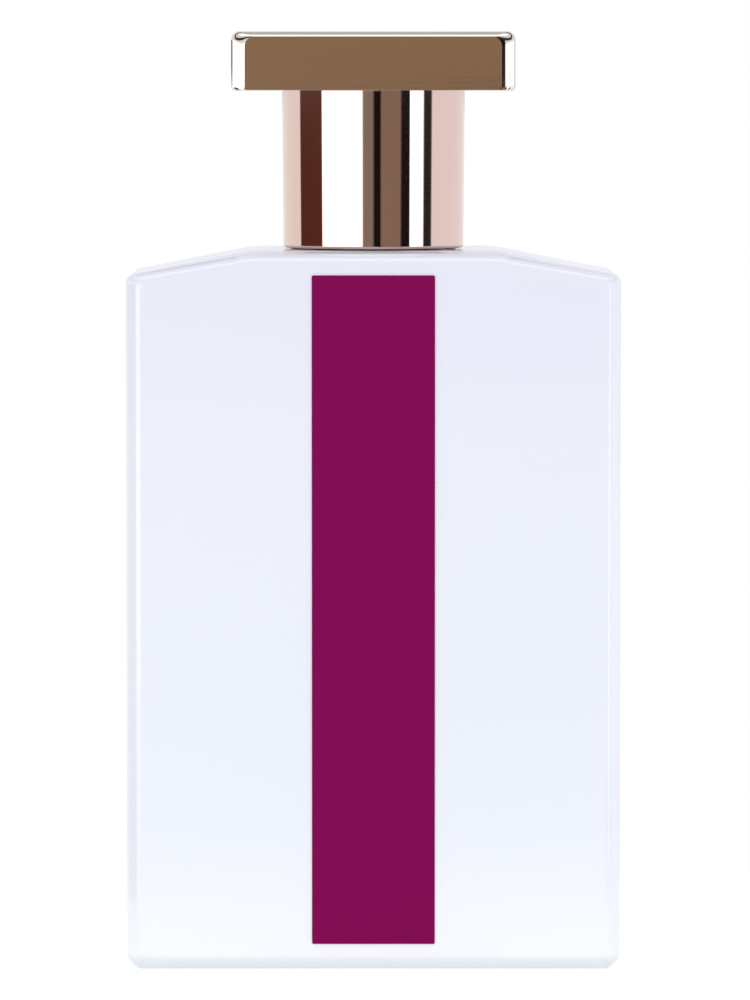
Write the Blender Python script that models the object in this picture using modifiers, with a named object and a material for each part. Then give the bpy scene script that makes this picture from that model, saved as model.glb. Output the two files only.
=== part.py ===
"""Perfume spray bottle: white glass flacon, label stripe, crimped spray pump and a slab-topped pull-off cap.

The base centre is the origin, +Z is up and the labelled front faces -Y. Everything is in metres.
"""

import math

import bmesh
import bpy
from mathutils import Matrix, Vector

# Bottle
BODY_WIDTH = 0.062
BODY_DEPTH = 0.031
CORNER_HEIGHT = 0.0872  # where the sloping shoulder meets the side
LAND_HEIGHT = 0.09015  # flat top of the shoulder, under the cap
LAND_HALF = 0.0118
CORNER_RADIUS = 0.0016
FACE_CORNER_RADIUS = 0.0006  # the same corner on the flat front and back faces
LAND_BLEND = 0.014
BASE_CUT = 0.0014
BASE_BEVEL = 0.00165
SIDE_BEVEL = 0.00125
TOP_BEVEL = 0.0008
WALL = 0.0032
FLOOR = 0.0072
RECESS_DEPTH = 0.0007
RECESS_RIM = 0.0062  # from the body's outside to the recess in its base

# Neck finish
NECK_RADIUS = 0.0064
BEAD_RADIUS = 0.0074
BEAD_LOW = 0.0941
NECK_TOP = 0.0976
BORE_RADIUS = 0.0049

# Label and liquid
LABEL_WIDTH = 0.0154
LABEL_LOW = 0.0034
LABEL_TOP = 0.08735
LABEL_THICK = 0.00014
LIQUID_LEVEL = 0.0815

# Clearances
SKIN = 0.00003  # a printed stripe to the glass
FIT = 0.0001  # flat faces pressed together
RUN = 0.0003  # pieces that slide, turn or stand on each other

# Pump
PRESS = 0.0035
GASKET_THICK = 0.0008
FLANGE_THICK = 0.0008
FERRULE_WALL = 0.0004
BARREL_RADIUS = 0.0041
CHAMBER_RADIUS = 0.00325
CHAMBER_LOW = 0.0764
SOCKET_LOW = 0.068
TUBE_RADIUS = 0.00115
TUBE_BORE = 0.00065
BALL_RADIUS = 0.00119
STEM_RADIUS = 0.0016
SPRING_TURNS = 6
SPRING_RADIUS = 0.00235
SPRING_WIRE = 0.00025

# Actuator and collar
HEAD_RADIUS = 0.00645
HEAD_HEIGHT = 0.0064
HEAD_WALL = 0.0004
NOZZLE_RADIUS = 0.0015
COLLAR_RADIUS = 0.009
COLLAR_WALL = 0.0006
COLLAR_TOP = 0.1056

# Cap
SLAB_WIDTH = 0.0356
SLAB_DEPTH = 0.027
SLAB_LOW = 0.1103
SLAB_TOP = 0.1178
SLAB_CORNER = 0.0017
SLAB_EDGE = 0.0008
SLEEVE_TOP_RADIUS = 0.01162
SLEEVE_LOW_RADIUS = 0.01144
SLEEVE_BORE = 0.01045
LINER_WALL = 0.0006
LINER_RIBS = 8
RIB_WIDTH = 0.0009
WEIGHT_THICK = 0.0029

# Levels that follow from the sizes above
SEAT = LAND_HEIGHT + RUN
GASKET_LOW = NECK_TOP + FIT
FLANGE_LOW = GASKET_LOW + GASKET_THICK + FIT
FLANGE_TOP = FLANGE_LOW + FLANGE_THICK
CLOSURE_LOW = FLANGE_TOP + FIT
CLOSURE_TOP = CLOSURE_LOW + 0.0006
FERRULE_TOP = CLOSURE_TOP + FIT + FERRULE_WALL
HEAD_LOW = FERRULE_TOP + 0.0004 + PRESS
HEAD_TOP = HEAD_LOW + HEAD_HEIGHT
STEM_TOP = HEAD_LOW + 0.0025
NOZZLE_HEIGHT = STEM_TOP + 0.0012
CEILING = HEAD_TOP + 0.0007
LINER_TOP = CEILING + 0.0009
WEIGHT_LOW = LINER_TOP + FIT
SLAB_BORE_TOP = WEIGHT_LOW + WEIGHT_THICK + FIT
BODY_FRONT = -BODY_DEPTH / 2

ROUND = 48  # facets round a visible turned piece
SMALL_ROUND = 32  # and round one inside


def fresh_collections():
    """Clears the scene, and gives one collection for the parts and one for their cutters."""
    for old in list(bpy.data.objects):
        bpy.data.objects.remove(old, do_unlink=True)
    made = []
    for name in ("perfume_bottle", "cutters"):
        group = bpy.data.collections.new(name)
        bpy.context.scene.collection.children.link(group)
        made.append(group)
    return made


PARTS, CUTTERS = fresh_collections()


def finish(name, colour, roughness, metallic=0.0):
    material = bpy.data.materials.new(name)
    material.use_nodes = True
    shader = material.node_tree.nodes["Principled BSDF"]
    shader.inputs["Base Color"].default_value = (*colour, 1.0)
    shader.inputs["Roughness"].default_value = roughness
    shader.inputs["Metallic"].default_value = metallic
    return material


GLASS = finish("white_glass", (0.84, 0.85, 0.92), 0.08)
LABEL = finish("magenta_label", (0.22, 0.005, 0.08), 0.35)
LIQUID = finish("perfume_liquid", (0.9, 0.62, 0.55), 0.02)
ROSE = finish("rose_gold", (0.86, 0.62, 0.52), 0.06, 1.0)
SLAB_ROSE = finish("rose_gold_slab", (0.8, 0.58, 0.44), 0.12, 1.0)
CLEAR_PLASTIC = finish("natural_plastic", (0.85, 0.85, 0.83), 0.4)
TUBE_PLASTIC = finish("clear_tube", (0.9, 0.92, 0.92), 0.2)
RUBBER = finish("grey_rubber", (0.18, 0.18, 0.19), 0.7)
FERRULE_METAL = finish("bare_aluminium", (0.82, 0.82, 0.83), 0.3, 1.0)
STEEL = finish("steel", (0.6, 0.6, 0.6), 0.25, 1.0)


def add(name, mesh, material=None, group=PARTS):
    """An object for a mesh: a part with its material, or a wire-drawn cutter."""
    piece = bpy.data.objects.new(name, mesh)
    group.objects.link(piece)
    if material:
        mesh.materials.append(material)
    if group is CUTTERS:
        piece.hide_render = True
        piece.display_type = "WIRE"
    return piece


def turned(name, profile, material=None, facets=SMALL_ROUND, group=PARTS):
    """A turned piece. The (radius, height) points run down its outer side, and a ring's back up its bore."""
    mesh = bpy.data.meshes.new(name)
    edges = [(i, i + 1) for i in range(len(profile) - 1)]
    if profile[0][0] > 0:
        edges.append((len(profile) - 1, 0))
    mesh.from_pydata([(radius, 0.0, height) for radius, height in profile], edges, [])
    piece = add(name, mesh, material, group)
    screw = piece.modifiers.new("Turn", "SCREW")
    screw.steps = facets
    screw.render_steps = facets
    screw.use_merge_vertices = True
    screw.merge_threshold = 1e-5
    screw.use_smooth_shade = True
    return piece


def from_bmesh(name, form, material=None, group=PARTS):
    mesh = bpy.data.meshes.new(name)
    form.to_mesh(mesh)
    form.free()
    return add(name, mesh, material, group)


def box(name, low, high, material=None, group=PARTS):
    form = bmesh.new()
    size = Vector(high) - Vector(low)
    place = Matrix.Translation((Vector(high) + Vector(low)) / 2) @ Matrix.Diagonal((*size, 1.0))
    bmesh.ops.create_cube(form, size=1.0, matrix=place)
    return from_bmesh(name, form, material, group)


def drill(name, radius, start, end, facets=24):
    """A cylindrical cutter from start to end."""
    form = bmesh.new()
    along = Vector(end) - Vector(start)
    turn = Vector((0, 0, 1)).rotation_difference(along).to_matrix().to_4x4()
    place = Matrix.Translation((Vector(start) + Vector(end)) / 2) @ turn
    bmesh.ops.create_cone(
        form, cap_ends=True, segments=facets, radius1=radius, radius2=radius, depth=along.length, matrix=place
    )
    return from_bmesh(name, form, group=CUTTERS)


def combine(piece, other, operation="DIFFERENCE"):
    boolean = piece.modifiers.new(f"{operation.title()} {other.name}", "BOOLEAN")
    boolean.operation = operation
    boolean.object = other


def filleted(corners, steps=6):
    """The outline through (x, y, radius) corners, each rounded to its radius."""
    outline = []
    for i, (x, y, radius) in enumerate(corners):
        corner = Vector((x, y))
        if radius == 0:
            outline.append(corner)
            continue
        before = (Vector(corners[i - 1][:2]) - corner).normalized()
        after = (Vector(corners[(i + 1) % len(corners)][:2]) - corner).normalized()
        half = before.angle(after) / 2
        centre = corner + (before + after).normalized() * radius / math.sin(half)
        start = corner + before * radius / math.tan(half) - centre
        sweep = start.angle_signed(corner + after * radius / math.tan(half) - centre)
        for k in range(steps + 1):
            outline.append(centre + Matrix.Rotation(-sweep * k / steps, 2) @ start)
    return outline


def slab_from(name, outline, thickness, material=None, group=PARTS, upright=False):
    """A flat outline with a thickness, lying flat or, if upright, standing with its outline in X and Z."""
    curve = bpy.data.curves.new(name, "CURVE")
    curve.dimensions = "2D"
    curve.fill_mode = "BOTH"
    curve.extrude = thickness / 2
    spline = curve.splines.new("POLY")
    spline.points.add(len(outline) - 1)
    for point, (x, y) in zip(spline.points, outline):
        point.co = (x, y, 0.0, 1.0)
    spline.use_cyclic_u = True
    flat = add(name + "_outline", curve, group=CUTTERS)
    graph = bpy.context.evaluated_depsgraph_get()
    form = bmesh.new()
    form.from_mesh(bpy.data.meshes.new_from_object(flat.evaluated_get(graph)))
    bpy.data.objects.remove(flat, do_unlink=True)
    bmesh.ops.remove_doubles(form, verts=form.verts, dist=1e-6)
    bmesh.ops.dissolve_limit(form, angle_limit=math.radians(0.1), verts=form.verts, edges=form.edges)
    if upright:
        bmesh.ops.rotate(form, verts=form.verts, matrix=Matrix.Rotation(math.pi / 2, 3, "X"))
    bmesh.ops.recalc_face_normals(form, faces=form.faces)
    return from_bmesh(name, form, material, group)


def bevelled(piece, width, share, segments=1):
    """Bevels each edge by its share of the width. share takes an edge's two ends."""
    form = bmesh.new()
    form.from_mesh(piece.data)
    weight = form.edges.layers.float.new("bevel_weight_edge")
    for edge in form.edges:
        edge[weight] = share(edge.verts[0].co, edge.verts[1].co)
    form.to_mesh(piece.data)
    form.free()
    bevel = piece.modifiers.new("Edges", "BEVEL")
    bevel.limit_method = "WEIGHT"
    bevel.width = width
    bevel.segments = segments
    bevel.use_clamp_overlap = False


def on_axis(name, height, pieces):
    """Parents pieces that move together to an empty on their joint's axis."""
    pivot = bpy.data.objects.new(name, None)
    pivot.location = (0.0, 0.0, height)
    pivot.empty_display_size = 0.01
    PARTS.objects.link(pivot)
    for piece in pieces:
        piece.parent = pivot
        piece.matrix_parent_inverse = Matrix.Translation((0.0, 0.0, -height))


# ---- bottle ----


def flacon_outline(side, top, base, corner_radius, base_cut):
    """The front view, pulled in at the sides, the top and the base: cut base corners and sloping shoulders."""
    half = BODY_WIDTH / 2 - side
    corners = [
        (-half + base_cut, base, 0),
        (half - base_cut, base, 0),
        (half, base + base_cut, 0),
        (half, CORNER_HEIGHT - top, corner_radius),
        (LAND_HALF, LAND_HEIGHT - top, LAND_BLEND),
        (-LAND_HALF, LAND_HEIGHT - top, LAND_BLEND),
        (-half, CORNER_HEIGHT - top, corner_radius),
        (-half, base + base_cut, 0),
    ]
    return filleted(corners)


def flacon_shell():
    """The body's outside as a loft: the outline, and the smaller front and back faces that its bevels end in."""
    outline = flacon_outline(0.0, 0.0, 0.0, CORNER_RADIUS, BASE_CUT)
    face_cut = BASE_CUT + SIDE_BEVEL - BASE_BEVEL
    face = flacon_outline(SIDE_BEVEL, TOP_BEVEL, BASE_BEVEL, FACE_CORNER_RADIUS, face_cut)
    half = BODY_DEPTH / 2
    form = bmesh.new()
    front, front_rim, back_rim, back = [], [], [], []
    for wide, narrow in zip(outline, face):
        inward = max(abs(wide.x - narrow.x), abs(wide.y - narrow.y))
        front.append(form.verts.new((narrow.x, -half, narrow.y)))
        front_rim.append(form.verts.new((wide.x, inward - half, wide.y)))
        back_rim.append(form.verts.new((wide.x, half - inward, wide.y)))
        back.append(form.verts.new((narrow.x, half, narrow.y)))
    for one, other in ((front, front_rim), (front_rim, back_rim), (back_rim, back)):
        for i in range(len(one)):
            form.faces.new((one[i - 1], one[i], other[i], other[i - 1]))
    form.faces.new(front)
    form.faces.new(back)
    bmesh.ops.recalc_face_normals(form, faces=form.faces)
    return from_bmesh("bottle", form, GLASS)


def neck_profile():
    """The crimp neck: a waist above the shoulder, then the bead that the ferrule grips."""
    ease = 0.0006
    return [
        (0.0, NECK_TOP),
        (BEAD_RADIUS - ease, NECK_TOP),
        (BEAD_RADIUS, NECK_TOP - ease),
        (BEAD_RADIUS, BEAD_LOW + ease),
        (NECK_RADIUS + 0.0002, BEAD_LOW),
        (NECK_RADIUS, BEAD_LOW - ease),
        (NECK_RADIUS, LAND_HEIGHT + ease),
        (NECK_RADIUS + ease, LAND_HEIGHT - FIT),
        (NECK_RADIUS + ease, LAND_HEIGHT - 0.002),
        (0.0, LAND_HEIGHT - 0.002),
    ]


def cavity(name, slack, group=CUTTERS, material=None):
    """The space inside the walls, pulled in by the slack."""
    space = slab_from(
        name,
        flacon_outline(WALL + slack, WALL + slack, FLOOR + slack, 0.004, 0.003),
        BODY_DEPTH - 2 * (WALL + slack),
        material,
        group,
        upright=True,
    )
    bevelled(space, 0.003, lambda a, b: float(abs(a.y - b.y) < 1e-6), segments=2)
    return space


def make_bottle():
    bottle = flacon_shell()
    combine(bottle, turned("neck_blank", neck_profile(), facets=ROUND, group=CUTTERS), "UNION")
    combine(bottle, cavity("bottle_cavity", 0.0))
    combine(bottle, drill("neck_bore", BORE_RADIUS, (0, 0, 0.08), (0, 0, NECK_TOP + 0.002), facets=ROUND))
    across, deep = BODY_WIDTH / 2 - RECESS_RIM, BODY_DEPTH / 2 - RECESS_RIM
    recess = filleted([(x * across, y * deep, 0.003) for x, y in ((-1, -1), (1, -1), (1, 1), (-1, 1))], 3)
    combine(bottle, slab_from("base_recess", recess, 2 * RECESS_DEPTH, group=CUTTERS))


def make_label():
    half = LABEL_WIDTH / 2
    back = BODY_FRONT - SKIN
    box("label_stripe", (-half, back - LABEL_THICK, LABEL_LOW), (half, back, LABEL_TOP), LABEL)


def make_perfume():
    """The liquid, clear of the glass, with the pump's barrel and dip tube standing in it."""
    perfume = cavity("perfume", FIT, PARTS, LIQUID)
    low, high = (-0.04, -0.03, LIQUID_LEVEL), (0.04, 0.03, LAND_HEIGHT + 0.01)
    combine(perfume, box("above_liquid", low, high, group=CUTTERS))
    room = BARREL_RADIUS + RUN
    well = [
        (0.0, LIQUID_LEVEL + 0.01),
        (room, LIQUID_LEVEL + 0.01),
        (room, SOCKET_LOW - RUN),
        (TUBE_RADIUS + RUN, SOCKET_LOW - RUN),
        (TUBE_RADIUS + RUN, FLOOR + 2 * RUN),
        (0.0, FLOOR + 2 * RUN),
    ]
    combine(perfume, turned("pump_well", well, group=CUTTERS))


# ---- pump ----


def make_neck_gasket():
    outer, inner, top = BEAD_RADIUS - 0.0002, BARREL_RADIUS + FIT, GASKET_LOW + GASKET_THICK
    turned("neck_gasket", [(outer, top), (outer, GASKET_LOW), (inner, GASKET_LOW), (inner, top)], RUBBER)


def make_crimp_ferrule():
    """The aluminium shell crimped under the neck's bead, which holds the pump down on its gasket."""
    inner = BEAD_RADIUS + RUN
    outer = inner + FERRULE_WALL
    hem = BEAD_LOW - RUN
    mouth = 0.0039
    turned(
        "crimp_ferrule",
        [
            (mouth, FERRULE_TOP),
            (outer - 0.0004, FERRULE_TOP),
            (outer, FERRULE_TOP - 0.0004),
            (outer, hem - 0.0002),
            (NECK_RADIUS + 0.0006, hem - 0.0006),
            (NECK_RADIUS + 0.0006, hem - 0.0002),
            (inner, hem + 0.0002),
            (inner, FERRULE_TOP - FERRULE_WALL),
            (mouth, FERRULE_TOP - FERRULE_WALL),
        ],
        FERRULE_METAL,
    )


BALL_CHAMBER = 0.00175
CHANNEL = 0.0007
SEAT_CONE_LOW = 0.0735
SEAT_CONE_TOP = 0.0746


def make_pump_housing():
    """The pump's cylinder: a chamber for the piston, a cone seat for the ball and a socket for the tube."""
    waist = 0.0022
    socket = TUBE_RADIUS + 0.0002
    turned(
        "pump_housing",
        [
            (BEAD_RADIUS - 0.0005, FLANGE_TOP),
            (BEAD_RADIUS - 0.0005, FLANGE_LOW),
            (BARREL_RADIUS, FLANGE_LOW),
            (BARREL_RADIUS, SEAT_CONE_TOP + 0.0004),
            (waist, SEAT_CONE_LOW - 0.0005),
            (waist - 0.0002, SOCKET_LOW),
            (socket, SOCKET_LOW),
            (socket, SEAT_CONE_LOW - 0.0011),
            (CHANNEL, SEAT_CONE_LOW - 0.0011),
            (CHANNEL, SEAT_CONE_LOW),
            (BALL_CHAMBER, SEAT_CONE_TOP),
            (BALL_CHAMBER, CHAMBER_LOW),
            (CHAMBER_RADIUS, CHAMBER_LOW),
            (CHAMBER_RADIUS, FLANGE_TOP),
        ],
        CLEAR_PLASTIC,
    )


def make_dip_tube():
    top, low = SEAT_CONE_LOW - 0.0013, FLOOR + 0.0012
    outer, inner = TUBE_RADIUS, TUBE_BORE
    turned("dip_tube", [(outer, top), (outer, low), (inner, low), (inner, top)], TUBE_PLASTIC, 16)


def make_ball_valve():
    """The inlet ball, resting on its cone seat."""
    run, rise = BALL_CHAMBER - CHANNEL, SEAT_CONE_TOP - SEAT_CONE_LOW
    reach = (BALL_RADIUS + FIT) * math.hypot(run, rise) - CHANNEL * rise
    centre = SEAT_CONE_LOW + reach / run
    form = bmesh.new()
    bmesh.ops.create_uvsphere(
        form, u_segments=16, v_segments=10, radius=BALL_RADIUS, matrix=Matrix.Translation((0, 0, centre))
    )
    ball = from_bmesh("ball_valve", form, STEEL)
    ball.data.shade_smooth()


POPPET_LOW = 0.0874
POPPET_TOP = POPPET_LOW + 0.0008
SPRING_LOW = CHAMBER_LOW + FIT


def make_return_spring():
    """A coil between the chamber's floor and the poppet, with a closed turn at each end."""
    low = SPRING_LOW + SPRING_WIRE
    high = POPPET_LOW - FIT - SPRING_WIRE
    closed = 2.2 * SPRING_WIRE
    pitch = (high - low - 2 * closed) / (SPRING_TURNS - 2)
    per_turn = 12
    curve = bpy.data.curves.new("return_spring", "CURVE")
    curve.dimensions = "3D"
    curve.bevel_depth = SPRING_WIRE
    curve.bevel_resolution = 2
    curve.use_fill_caps = True
    spline = curve.splines.new("POLY")
    spline.points.add(SPRING_TURNS * per_turn)
    for i, point in enumerate(spline.points):
        turn = i / per_turn
        middle = min(max(turn - 1.0, 0.0), SPRING_TURNS - 2.0)
        height = low + closed * (min(turn, 1.0) + max(turn - SPRING_TURNS + 1.0, 0.0)) + pitch * middle
        angle = 2 * math.pi * turn
        point.co = (SPRING_RADIUS * math.cos(angle), SPRING_RADIUS * math.sin(angle), height, 1.0)
    spring = add("return_spring", curve)
    curve.materials.append(STEEL)
    return spring


def make_poppet():
    """The spring's seat, with a guide pin below and the needle that shuts the stem above."""
    needle, pin, flange = 0.0011, 0.0015, 0.00275
    return turned(
        "poppet",
        [
            (0.0, POPPET_TOP + 0.0032),
            (needle * 0.6, POPPET_TOP + 0.0032),
            (needle, POPPET_TOP + 0.0026),
            (needle, POPPET_TOP),
            (flange, POPPET_TOP),
            (flange, POPPET_LOW),
            (pin, POPPET_LOW),
            (pin, POPPET_LOW - 0.003),
            (0.0, POPPET_LOW - 0.003),
        ],
        CLEAR_PLASTIC,
        24,
    )


SKIRT_LOW = POPPET_TOP + RUN
SKIRT_TOP = SKIRT_LOW + 0.0034
CLOSURE_SKIRT_LOW = 0.0972


def make_pump_stem():
    """The hollow stem: a skirt over the poppet's needle, and a tube up to the actuator."""
    skirt, socket, bore = 0.0026, 0.0015, 0.00075
    stem = turned(
        "pump_stem",
        [
            (bore, STEM_TOP),
            (STEM_RADIUS - 0.0002, STEM_TOP),
            (STEM_RADIUS, STEM_TOP - 0.0002),
            (STEM_RADIUS, SKIRT_TOP),
            (skirt, SKIRT_TOP),
            (skirt, SKIRT_LOW),
            (socket, SKIRT_LOW),
            (socket, SKIRT_TOP - 0.0003),
            (0.0004, SKIRT_TOP + 0.0003),
            (0.0004, SKIRT_TOP + 0.001),
            (bore, SKIRT_TOP + 0.0014),
        ],
        CLEAR_PLASTIC,
        24,
    )
    return stem


def make_piston():
    """The sliding seal between the stem and the chamber: two lips and a waist."""
    low, top = SKIRT_TOP + RUN, CLOSURE_SKIRT_LOW - RUN
    lip, waist, bore = CHAMBER_RADIUS - 0.00025, 0.0026, STEM_RADIUS + 0.0002
    edge = 0.0008
    return turned(
        "piston",
        [
            (lip, top),
            (lip, top - edge),
            (waist, top - 2 * edge),
            (waist, low + 2 * edge),
            (lip, low + edge),
            (lip, low),
            (bore, low),
            (bore, top),
        ],
        CLEAR_PLASTIC,
        24,
    )


BOSS_RADIUS = 0.0034
BOSS_TOP = FERRULE_TOP + 0.0011


def make_pump_closure():
    """The turret that shuts the chamber and guides the stem, held under the ferrule's top."""
    skirt, bore = CHAMBER_RADIUS - 0.0002, STEM_RADIUS + 0.00025
    turned(
        "pump_closure",
        [
            (BOSS_RADIUS, BOSS_TOP),
            (BOSS_RADIUS, CLOSURE_TOP),
            (BEAD_RADIUS - 0.0007, CLOSURE_TOP),
            (BEAD_RADIUS - 0.0007, CLOSURE_LOW),
            (skirt, CLOSURE_LOW),
            (skirt, CLOSURE_SKIRT_LOW),
            (bore, CLOSURE_SKIRT_LOW),
            (bore, BOSS_TOP),
        ],
        CLEAR_PLASTIC,
    )


def make_collar():
    """The rose-gold sleeve pressed over the ferrule, with a lip round the actuator."""
    bore, mouth, ease = COLLAR_RADIUS - COLLAR_WALL, HEAD_RADIUS + 0.0004, 0.0004
    turned(
        "collar",
        [
            (mouth, COLLAR_TOP),
            (COLLAR_RADIUS - ease, COLLAR_TOP),
            (COLLAR_RADIUS, COLLAR_TOP - ease),
            (COLLAR_RADIUS, SEAT),
            (bore, SEAT),
            (bore, COLLAR_TOP - COLLAR_WALL),
            (mouth, COLLAR_TOP - COLLAR_WALL),
        ],
        ROSE,
        ROUND,
    )


# ---- actuator ----

CORE_RADIUS = HEAD_RADIUS - HEAD_WALL - 0.0003
CORE_TOP = HEAD_TOP - HEAD_WALL - 0.0003
NOZZLE_BACK = -0.0038
NOZZLE_FACE = -HEAD_RADIUS + 0.0003


def make_actuator_core():
    """The moulded core: a well over the pump's boss, a socket on the stem and a channel to the nozzle."""
    well, socket, riser = BOSS_RADIUS + 0.0005, STEM_RADIUS + 0.0002, 0.0007
    floor, well_top = HEAD_LOW + 0.0002, HEAD_LOW + 0.0015
    core = turned(
        "actuator_core",
        [
            (0.0, CORE_TOP),
            (CORE_RADIUS - 0.0003, CORE_TOP),
            (CORE_RADIUS, CORE_TOP - 0.0003),
            (CORE_RADIUS, floor),
            (well, floor),
            (well, well_top),
            (socket, well_top),
            (socket, STEM_TOP + RUN),
            (riser, STEM_TOP + RUN),
            (riser, NOZZLE_HEIGHT + 0.0003),
            (0.0, NOZZLE_HEIGHT + 0.0003),
        ],
        CLEAR_PLASTIC,
    )
    out = (0, -HEAD_RADIUS - 0.002, NOZZLE_HEIGHT)
    combine(core, drill("nozzle_pocket", NOZZLE_RADIUS + 0.0002, (0, NOZZLE_BACK + 0.0002, NOZZLE_HEIGHT), out))
    combine(core, drill("spray_channel", 0.00045, (0, 0, NOZZLE_HEIGHT), out, facets=12))
    return core


def make_actuator_shell():
    """The thin metal thimble over the core, with a window for the nozzle."""
    inner, ease = HEAD_RADIUS - HEAD_WALL, 0.0005
    shell = turned(
        "actuator_shell",
        [
            (0.0, HEAD_TOP),
            (HEAD_RADIUS - ease, HEAD_TOP),
            (HEAD_RADIUS, HEAD_TOP - ease),
            (HEAD_RADIUS, HEAD_LOW),
            (inner, HEAD_LOW),
            (inner, HEAD_TOP - HEAD_WALL),
            (0.0, HEAD_TOP - HEAD_WALL),
        ],
        ROSE,
        ROUND,
    )
    out = (0, -HEAD_RADIUS - 0.002, NOZZLE_HEIGHT)
    combine(shell, drill("nozzle_window", NOZZLE_RADIUS + 0.0003, (0, NOZZLE_BACK, NOZZLE_HEIGHT), out))
    return shell


def make_nozzle_insert():
    """The spray insert: a dished face with its orifice, over a swirl chamber. It is turned, then laid forward."""
    length = NOZZLE_BACK - NOZZLE_FACE
    orifice, swirl = 0.00015, 0.0008
    insert = turned(
        "nozzle_insert",
        [
            (0.0006, length),
            (NOZZLE_RADIUS - 0.0001, length),
            (NOZZLE_RADIUS, length - 0.0001),
            (NOZZLE_RADIUS, 0.0),
            (swirl, 0.0),
            (swirl, length - 0.0009),
            (orifice, length - 0.0006),
            (orifice, length - 0.0003),
        ],
        CLEAR_PLASTIC,
        24,
    )
    insert.matrix_world = Matrix.Translation((0, NOZZLE_BACK, NOZZLE_HEIGHT)) @ Matrix.Rotation(
        math.pi / 2, 4, "X"
    )
    return insert


# ---- cap ----


def make_cap_sleeve():
    """The polished tube of the cap, a little narrower at its rim than under the slab."""
    top, ease = SLAB_LOW + 0.0006, 0.00015
    return turned(
        "cap_sleeve",
        [
            (SLEEVE_TOP_RADIUS, top),
            (SLEEVE_TOP_RADIUS, SLAB_LOW),
            (SLEEVE_LOW_RADIUS, SEAT + ease),
            (SLEEVE_LOW_RADIUS - ease, SEAT),
            (SLEEVE_BORE + ease, SEAT),
            (SLEEVE_BORE, SEAT + ease),
            (SLEEVE_BORE, top),
        ],
        ROSE,
        ROUND,
    )


def make_cap_slab():
    """The oblong block on top, bored from below for the weight and the liner, with a seat for the sleeve."""
    across, deep = SLAB_WIDTH / 2, SLAB_DEPTH / 2
    corners = [(x * across, y * deep, SLAB_CORNER) for x, y in ((-1, -1), (1, -1), (1, 1), (-1, 1))]
    slab = slab_from("cap_slab", filleted(corners, 5), SLAB_TOP - SLAB_LOW, SLAB_ROSE)
    slab.data.transform(Matrix.Translation((0, 0, (SLAB_TOP + SLAB_LOW) / 2)))

    def rims(start, end):
        if abs(start.z - end.z) > 1e-6:
            return 0.0
        return 1.0 if start.z > SLAB_LOW + FIT else 0.3

    bevelled(slab, SLAB_EDGE, rims, segments=3)
    seat = SLEEVE_TOP_RADIUS + 0.0002
    bore = SLEEVE_BORE + FIT
    pocket = [
        (0.0, SLAB_BORE_TOP),
        (bore, SLAB_BORE_TOP),
        (bore, SLAB_LOW + 0.0008),
        (seat, SLAB_LOW + 0.0008),
        (seat, SLAB_LOW - 0.001),
        (0.0, SLAB_LOW - 0.001),
    ]
    combine(slab, turned("slab_pocket", pocket, facets=ROUND, group=CUTTERS))
    return slab


def make_cap_liner():
    """The inner thimble, with ribs that grip the collar."""
    outer = SLEEVE_BORE - RUN
    inner = outer - LINER_WALL
    liner = turned(
        "cap_liner",
        [
            (0.0, LINER_TOP),
            (outer - RUN, LINER_TOP),
            (outer, LINER_TOP - RUN),
            (outer, SEAT + 0.0006),
            (inner, SEAT + 0.0006),
            (inner, CEILING),
            (0.0, CEILING),
        ],
        CLEAR_PLASTIC,
        ROUND,
    )
    ribs = bmesh.new()
    reach, depth = COLLAR_RADIUS + 0.00025, 0.001
    for k in range(LINER_RIBS):
        turn = Matrix.Rotation(2 * math.pi * (k + 0.5) / LINER_RIBS, 4, "Z")
        place = Matrix.Translation((reach + depth / 2, 0, (SEAT + COLLAR_TOP) / 2 + 0.0008))
        size = Matrix.Diagonal((depth, RIB_WIDTH, COLLAR_TOP - SEAT - 0.004, 1.0))
        bmesh.ops.create_cube(ribs, size=1.0, matrix=turn @ place @ size)
    combine(liner, from_bmesh("liner_ribs", ribs, group=CUTTERS), "UNION")
    return liner


def make_cap_weight():
    outer, top, ease = SLEEVE_BORE - RUN, WEIGHT_LOW + WEIGHT_THICK, 0.0003
    return turned(
        "cap_weight",
        [
            (0.0, top),
            (outer - ease, top),
            (outer, top - ease),
            (outer, WEIGHT_LOW + ease),
            (outer - ease, WEIGHT_LOW),
            (0.0, WEIGHT_LOW),
        ],
        STEEL,
    )


make_bottle()
make_label()
make_perfume()
make_neck_gasket()
make_crimp_ferrule()
make_pump_housing()
make_dip_tube()
make_ball_valve()
make_return_spring()
make_pump_closure()
make_collar()
on_axis("plunger_axis", STEM_TOP, [make_poppet(), make_pump_stem(), make_piston()])
on_axis("actuator_axis", HEAD_TOP, [make_actuator_core(), make_actuator_shell(), make_nozzle_insert()])
on_axis("cap_axis", SLAB_TOP, [make_cap_sleeve(), make_cap_slab(), make_cap_liner(), make_cap_weight()])
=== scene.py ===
"""The looks of a perfume spray bottle: opal glass flacon, magenta stripe, rose-gold cap and its pump.

Everything is in metres in the frame's own axes: +Z up, the labelled front facing -Y.
"""

import math

import bmesh
import bpy
from mathutils import Matrix, Vector


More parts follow.
